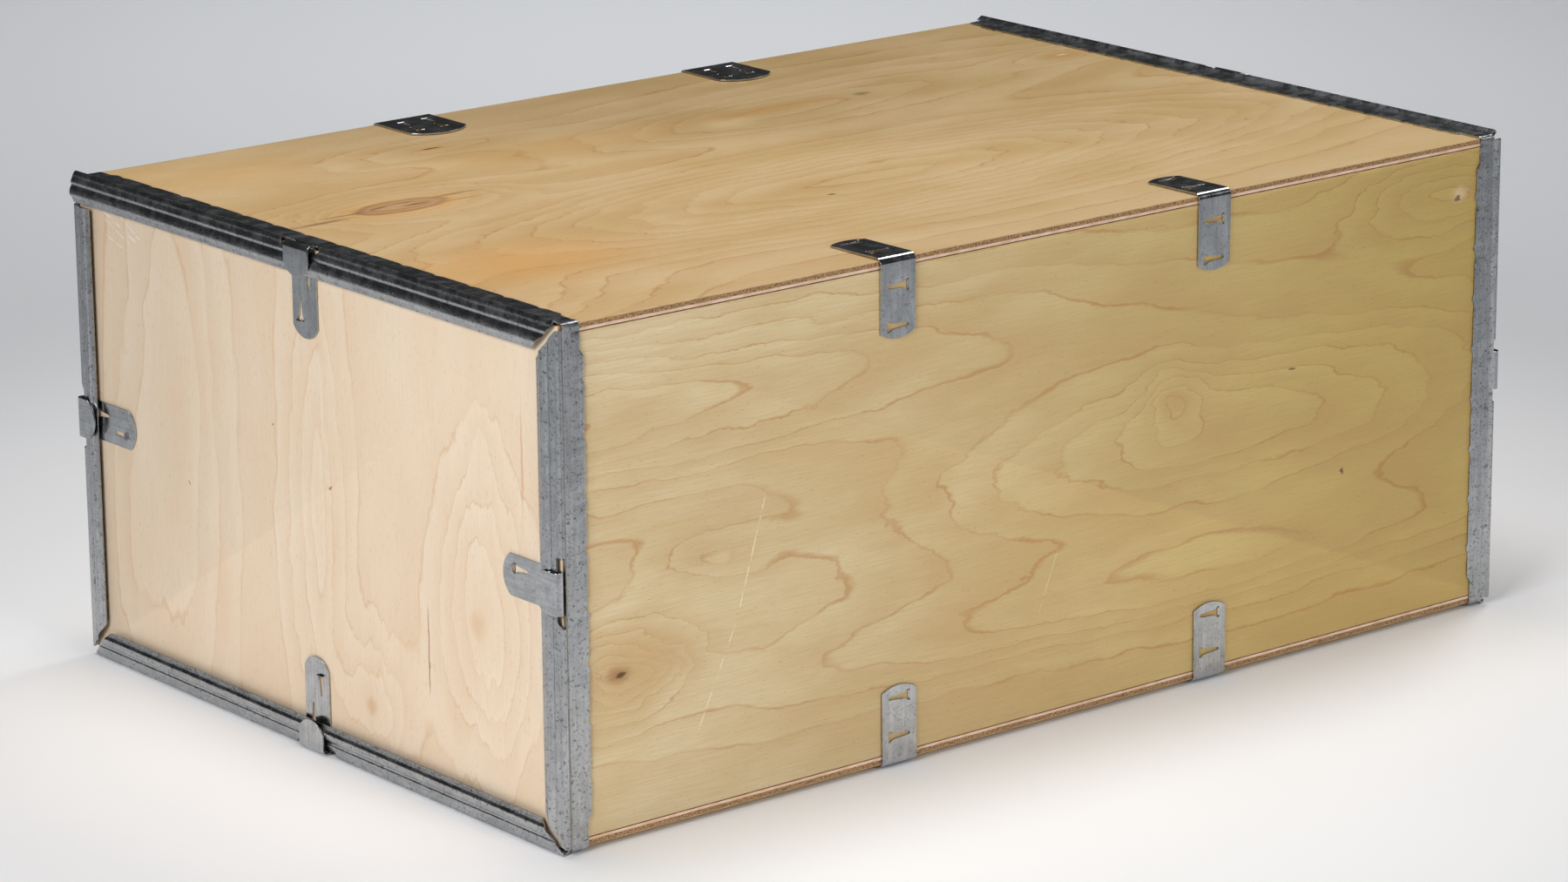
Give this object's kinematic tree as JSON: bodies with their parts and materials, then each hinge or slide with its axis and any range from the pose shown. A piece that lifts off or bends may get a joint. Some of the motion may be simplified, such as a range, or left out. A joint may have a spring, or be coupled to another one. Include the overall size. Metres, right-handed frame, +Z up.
{
  "type": "folding plywood shipping crate",
  "caption": "Folding plywood crate with galvanised steel end rims, toothed edge straps and bendable locking tongues, standing closed on its bottom rims.",
  "frame": {"origin": "middle of the crate's footprint, on the floor", "axes": "+X along the length towards the right end, +Y towards the back, +Z up; the front wall faces -Y"},
  "size_m": [0.6, 0.4, 0.25],
  "materials": {
    "lid_plywood": "bare rotary-cut plywood, golden, long grain",
    "wall_plywood": "bare rotary-cut plywood, pale yellow",
    "end_plywood": "bare birch plywood, creamy, upright grain",
    "rim_steel": "hot-dip galvanised, spangled",
    "strap_steel": "galvanised, dull"
  },
  "bodies": {
    "base": {"bottom_panel": "lid_plywood", "left_end_panel": "end_plywood", "right_end_panel": "end_plywood", "left_bottom_rim": "rim_steel", "right_bottom_rim": "rim_steel", "bottom_front_left_strap_floor_leaf": "strap_steel", "bottom_front_right_strap_floor_leaf": "strap_steel", "bottom_back_left_strap_floor_leaf": "strap_steel", "bottom_back_right_strap_floor_leaf": "strap_steel", "left_top_tongue_leg": "strap_steel", "left_front_tongue_leg": "strap_steel", "left_bottom_tongue_leg": "strap_steel", "left_back_tongue_leg": "strap_steel", "right_top_tongue_leg": "strap_steel", "right_front_tongue_leg": "strap_steel", "right_bottom_tongue_leg": "strap_steel", "right_back_tongue_leg": "strap_steel"},
    "front_wall": {"front_panel": "wall_plywood", "left_front_rim": "rim_steel", "right_front_rim": "rim_steel", "top_front_left_strap_wall_leaf": "strap_steel", "top_front_right_strap_wall_leaf": "strap_steel", "bottom_front_left_strap_wall_leaf": "strap_steel", "bottom_front_right_strap_wall_leaf": "strap_steel"},
    "lid": {"lid_panel": "lid_plywood", "left_top_rim": "rim_steel", "right_top_rim": "rim_steel", "left_closing_plate": "strap_steel", "right_closing_plate": "strap_steel", "top_front_left_strap_lid_leaf": "strap_steel", "top_front_right_strap_lid_leaf": "strap_steel"},
    "back_wall": {"back_panel": "wall_plywood", "left_back_rim": "rim_steel", "right_back_rim": "rim_steel", "bottom_back_left_strap_wall_leaf": "strap_steel", "bottom_back_right_strap_wall_leaf": "strap_steel"},
    "left_top_tongue": {"left_top_tongue": "strap_steel"},
    "left_front_tongue": {"left_front_tongue": "strap_steel"},
    "left_bottom_tongue": {"left_bottom_tongue": "strap_steel"},
    "left_back_tongue": {"left_back_tongue": "strap_steel"},
    "right_top_tongue": {"right_top_tongue": "strap_steel"},
    "right_front_tongue": {"right_front_tongue": "strap_steel"},
    "right_bottom_tongue": {"right_bottom_tongue": "strap_steel"},
    "right_back_tongue": {"right_back_tongue": "strap_steel"}
  },
  "joints": [
    {"name": "front_fold", "type": "hinge", "parent": "base", "child": "front_wall", "pos_m": [0, -0.2, 0], "axis": [1, 0, 0], "range_deg": [0, 90]},
    {"name": "lid_fold", "type": "hinge", "parent": "front_wall", "child": "lid", "pos_m": [0, -0.2, 0.25], "axis": [1, 0, 0], "range_deg": [0, 90]},
    {"name": "back_fold", "type": "hinge", "parent": "base", "child": "back_wall", "pos_m": [0, 0.2, 0], "axis": [-1, 0, 0], "range_deg": [0, 90]},
    {"name": "left_top_tongue_bend", "type": "hinge", "parent": "base", "child": "left_top_tongue", "pos_m": [-0.2973, 0, 0.2471], "axis": [0, 1, 0], "range_deg": [0, 176], "deforming": ["left_top_tongue"]},
    {"name": "left_front_tongue_bend", "type": "hinge", "parent": "base", "child": "left_front_tongue", "pos_m": [-0.2973, -0.1971, 0.125], "axis": [0, 0, 1], "range_deg": [0, 176], "deforming": ["left_front_tongue"]},
    {"name": "left_bottom_tongue_bend", "type": "hinge", "parent": "base", "child": "left_bottom_tongue", "pos_m": [-0.2973, 0, 0.0029], "axis": [0, -1, 0], "range_deg": [0, 176], "deforming": ["left_bottom_tongue"]},
    {"name": "left_back_tongue_bend", "type": "hinge", "parent": "base", "child": "left_back_tongue", "pos_m": [-0.2973, 0.1971, 0.125], "axis": [0, 0, -1], "range_deg": [0, 176], "deforming": ["left_back_tongue"]},
    {"name": "right_top_tongue_bend", "type": "hinge", "parent": "base", "child": "right_top_tongue", "pos_m": [0.2973, 0, 0.2471], "axis": [0, -1, 0], "range_deg": [0, 176], "deforming": ["right_top_tongue"]},
    {"name": "right_front_tongue_bend", "type": "hinge", "parent": "base", "child": "right_front_tongue", "pos_m": [0.2973, -0.1971, 0.125], "axis": [0, 0, -1], "range_deg": [0, 176], "deforming": ["right_front_tongue"]},
    {"name": "right_bottom_tongue_bend", "type": "hinge", "parent": "base", "child": "right_bottom_tongue", "pos_m": [0.2973, 0, 0.0029], "axis": [0, 1, 0], "range_deg": [0, 176], "deforming": ["right_bottom_tongue"]},
    {"name": "right_back_tongue_bend", "type": "hinge", "parent": "base", "child": "right_back_tongue", "pos_m": [0.2973, 0.1971, 0.125], "axis": [0, 0, 1], "range_deg": [0, 176], "deforming": ["right_back_tongue"]}
  ],
  "couplings": [
    {"joint": "left_top_tongue_bend", "follows": "lid_fold", "ratio": 1.95},
    {"joint": "left_front_tongue_bend", "follows": "front_fold", "ratio": 1.95},
    {"joint": "left_back_tongue_bend", "follows": "back_fold", "ratio": 1.95},
    {"joint": "right_top_tongue_bend", "follows": "lid_fold", "ratio": 1.95},
    {"joint": "right_front_tongue_bend", "follows": "front_fold", "ratio": 1.95},
    {"joint": "right_back_tongue_bend", "follows": "back_fold", "ratio": 1.95}
  ]
}
